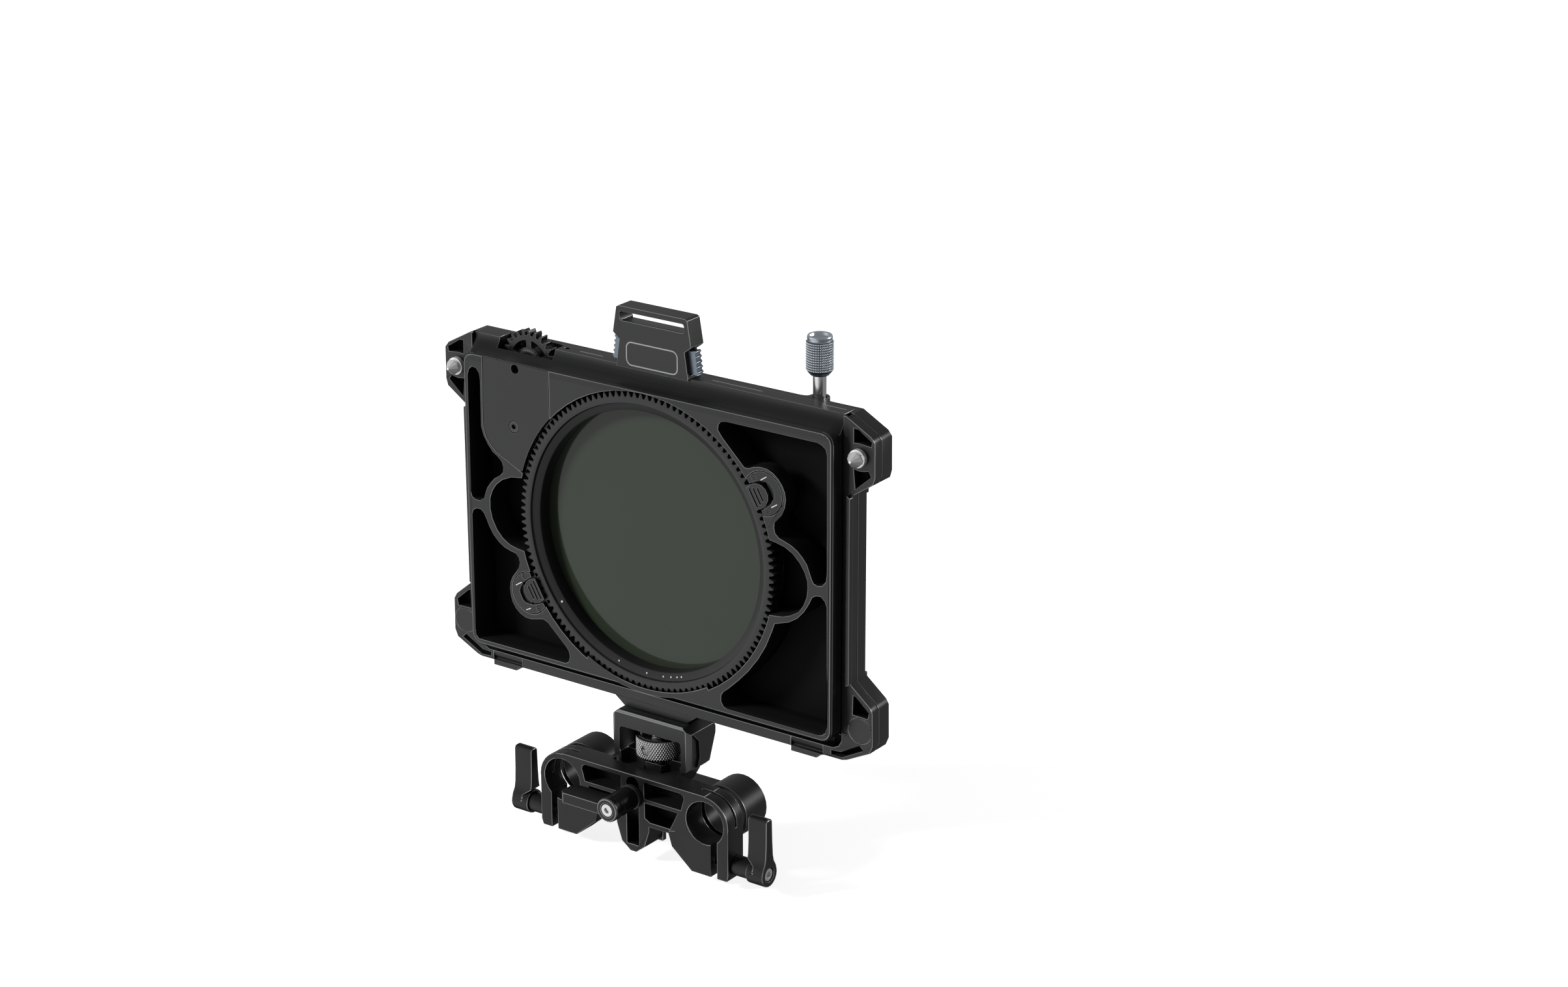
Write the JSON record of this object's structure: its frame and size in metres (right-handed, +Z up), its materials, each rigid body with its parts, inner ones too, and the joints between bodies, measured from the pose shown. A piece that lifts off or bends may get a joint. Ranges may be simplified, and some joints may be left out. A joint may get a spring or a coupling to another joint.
{
  "type": "matte box",
  "caption": "Cartridge matte box: geared round filter in a rectangular tray that drops into a U-shaped frame, on a height bracket with a two-rod clamp.",
  "frame": {"origin": "midway between the two rod axes, in the plane of the filter ring's front face", "axes": "+X right seen from the front, +Y from the front to the back along the rods and the optical axis, +Z up"},
  "size_m": [0.1748, 0.0468, 0.1869],
  "materials": {
    "black_anodised": "black satin anodised aluminium, fine bead-blast, thin bright edge where chamfered",
    "filter_black": "black satin anodised aluminium ring",
    "gear_black": "black moulded plastic gear",
    "blue_anodised": "blue-grey satin anodised aluminium",
    "bright_steel": "bright nickelled steel",
    "dark_steel": "black oxide steel",
    "spring_steel": "bright spring wire",
    "filter_glass": "grey-green neutral density polarising glass"
  },
  "bodies": {
    "rod_clamp": {"clamp_body": "black_anodised", "height_screw": "bright_steel", "jaw_nut_right": "dark_steel", "jaw_nut_left": "dark_steel", "lever_bolt_centre": "bright_steel", "lever_washer": "dark_steel", "lock_nut": "dark_steel"},
    "lever_right": {"lever_right": "black_anodised", "lever_bolt_right": "bright_steel"},
    "lever_left": {"lever_left": "black_anodised", "lever_bolt_left": "bright_steel"},
    "lever_centre": {"lever_centre": "black_anodised"},
    "frame": {"height_bracket": "black_anodised", "bracket_screw_1": "dark_steel", "bracket_screw_2": "dark_steel", "frame_front": "black_anodised", "frame_rear": "black_anodised", "frame_screw_1": "dark_steel", "frame_screw_2": "dark_steel", "frame_screw_3": "dark_steel", "frame_screw_4": "dark_steel", "frame_screw_5": "dark_steel", "cone_pin_right": "bright_steel", "cone_pin_left": "bright_steel", "ear_cap_right": "black_anodised", "ear_cap_left": "black_anodised", "clamp_collar": "black_anodised", "collar_screw_1": "dark_steel", "collar_screw_2": "dark_steel", "collar_screw_3": "dark_steel", "collar_screw_4": "dark_steel"},
    "thumb_wheel": {"thumb_wheel": "bright_steel"},
    "clamp_knob": {"clamp_knob": "blue_anodised", "clamp_screw": "bright_steel"},
    "tray": {"tray_body": "black_anodised", "gear_cover": "black_anodised", "transfer_axle": "dark_steel", "drive_axle": "dark_steel", "latch_plate_right": "black_anodised", "latch_plate_left": "black_anodised", "latch_screw_right_1": "dark_steel", "latch_screw_right_2": "dark_steel", "latch_screw_left_1": "dark_steel", "latch_screw_left_2": "dark_steel", "filter_rear_ring": "filter_black", "filter_rear_glass": "filter_glass", "rear_glass_retainer": "filter_black", "release_spring_right": "spring_steel", "release_spring_left": "spring_steel"},
    "filter_ring": {"filter_gear_ring": "filter_black", "filter_front_glass": "filter_glass", "front_glass_retainer": "filter_black"},
    "transfer_gear": {"transfer_gear": "gear_black"},
    "drive_gear": {"drive_gear": "gear_black"},
    "latch_right": {"latch_button_right": "black_anodised"},
    "latch_left": {"latch_button_left": "black_anodised"},
    "release_right": {"release_button_right": "blue_anodised"},
    "release_left": {"release_button_left": "blue_anodised"}
  },
  "joints": [
    {"name": "height_slide", "type": "slide", "parent": "rod_clamp", "child": "frame", "axis": [0, 0, 1], "range_m": [0, 0.01]},
    {"name": "thumb_wheel_turn", "type": "hinge", "parent": "frame", "child": "thumb_wheel", "pos_m": [0, 0.0062, 0.0158], "axis": [0, 0, 1], "range_deg": [-30, 2910]},
    {"name": "lever_right_turn", "type": "hinge", "parent": "rod_clamp", "child": "lever_right", "pos_m": [0.046, -0.00405, -0.0142], "axis": [1, 0, 0], "range_deg": [-90, 90]},
    {"name": "lever_left_turn", "type": "hinge", "parent": "rod_clamp", "child": "lever_left", "pos_m": [-0.046, -0.00405, -0.0142], "axis": [1, 0, 0], "range_deg": [-90, 90]},
    {"name": "lever_centre_turn", "type": "hinge", "parent": "rod_clamp", "child": "lever_centre", "pos_m": [0, -0.0168, 0.002], "axis": [0, 1, 0], "range_deg": [-90, 90]},
    {"name": "clamp_knob_turn", "type": "hinge", "parent": "frame", "child": "clamp_knob", "pos_m": [0.05826, 0.0165, 0.16], "axis": [0, 0, 1], "continuous": true},
    {"name": "tray_slide", "type": "slide", "parent": "frame", "child": "tray", "axis": [0, 0, 1], "range_m": [0, 0.115]},
    {"name": "filter_turn", "type": "hinge", "parent": "tray", "child": "filter_ring", "pos_m": [0, 0, 0.0896], "axis": [0, 1, 0], "range_deg": [-34, 34]},
    {"name": "transfer_turn", "type": "hinge", "parent": "tray", "child": "transfer_gear", "pos_m": [-0.05365, 0.005, 0.11987], "axis": [0, 1, 0], "range_deg": [-170, 170]},
    {"name": "drive_turn", "type": "hinge", "parent": "tray", "child": "drive_gear", "pos_m": [-0.0525, 0.0075, 0.14064], "axis": [0, 1, 0], "range_deg": [-170, 170]},
    {"name": "latch_right_slide", "type": "slide", "parent": "tray", "child": "latch_right", "axis": [0.8652, 0, 0.5015], "range_m": [0, 0.0015], "stiffness_N_per_m": 400, "springref_m": -0.001},
    {"name": "latch_left_slide", "type": "slide", "parent": "tray", "child": "latch_left", "axis": [-0.8652, 0, -0.5015], "range_m": [0, 0.0015], "stiffness_N_per_m": 400, "springref_m": -0.001},
    {"name": "release_right_press", "type": "slide", "parent": "tray", "child": "release_right", "axis": [-1, 0, 0], "range_m": [0, 0.002], "stiffness_N_per_m": 500, "springref_m": -0.001, "deforming": ["release_spring_right"]},
    {"name": "release_left_press", "type": "slide", "parent": "tray", "child": "release_left", "axis": [1, 0, 0], "range_m": [0, 0.002], "stiffness_N_per_m": 500, "springref_m": -0.001, "deforming": ["release_spring_left"]}
  ],
  "couplings": [
    {"joint": "thumb_wheel_turn", "follows": "height_slide", "rad_per_m": 5026.5},
    {"joint": "transfer_turn", "follows": "filter_turn", "ratio": -4.9231},
    {"joint": "drive_turn", "follows": "filter_turn", "ratio": 4.9231}
  ]
}
